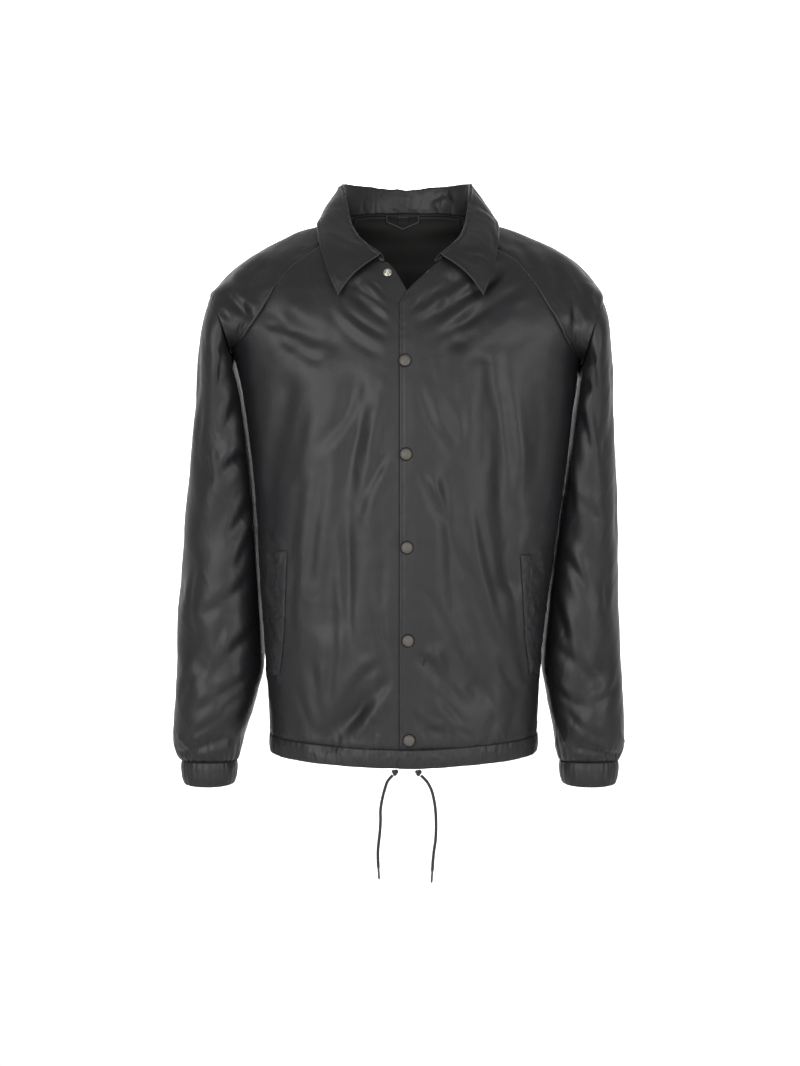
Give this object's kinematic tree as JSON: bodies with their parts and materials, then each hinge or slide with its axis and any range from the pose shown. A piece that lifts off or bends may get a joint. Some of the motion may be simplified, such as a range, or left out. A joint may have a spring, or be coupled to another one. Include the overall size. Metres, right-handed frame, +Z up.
{
  "type": "coach jacket",
  "caption": "Dark coach jacket with raglan shoulder yokes, folded collar, snap front, slanted welt pockets, elasticated cuffs and a drawcord hem, filled out with no wearer inside it",
  "frame": {"origin": "middle of the neck, level with the tops of the shoulders, where the wearer's neck holds the jacket", "axes": "+Z up from hem to collar, +X to the wearer's left, -Y to the front"},
  "size_m": [0.5985, 0.2842, 0.9159],
  "materials": {
    "nylon": "plain weave, soft sheen",
    "lining": "matte",
    "label": "matte, bare",
    "snap": "painted gunmetal, satin",
    "nickel": "nickel plated, bright",
    "cord": "braided, matte",
    "tip": "shrunk sleeve, satin"
  },
  "bodies": {
    "root": {"back": "nylon", "front_right": "nylon", "front_left": "nylon", "shoulder_right": "nylon", "shoulder_left": "nylon", "sleeve_right": "nylon", "sleeve_left": "nylon", "cuff_right": "nylon", "cuff_left": "nylon", "welt_right": "nylon", "welt_left": "nylon", "hem_right": "nylon", "hem_left": "nylon", "hem_back": "nylon", "collar": "nylon", "lining_back": "lining", "neck_patch": "lining", "neck_label": "label", "snap_cap_1": "snap", "snap_cap_2": "snap", "snap_cap_3": "snap", "snap_cap_4": "snap", "snap_cap_5": "snap", "top_stud": "nickel", "top_socket": "nickel", "drawcord_right": "cord", "drawcord_left": "cord", "cord_knot_right": "cord", "cord_knot_left": "cord", "cord_tip_right": "tip", "cord_tip_left": "tip"}
  },
  "joints": []
}
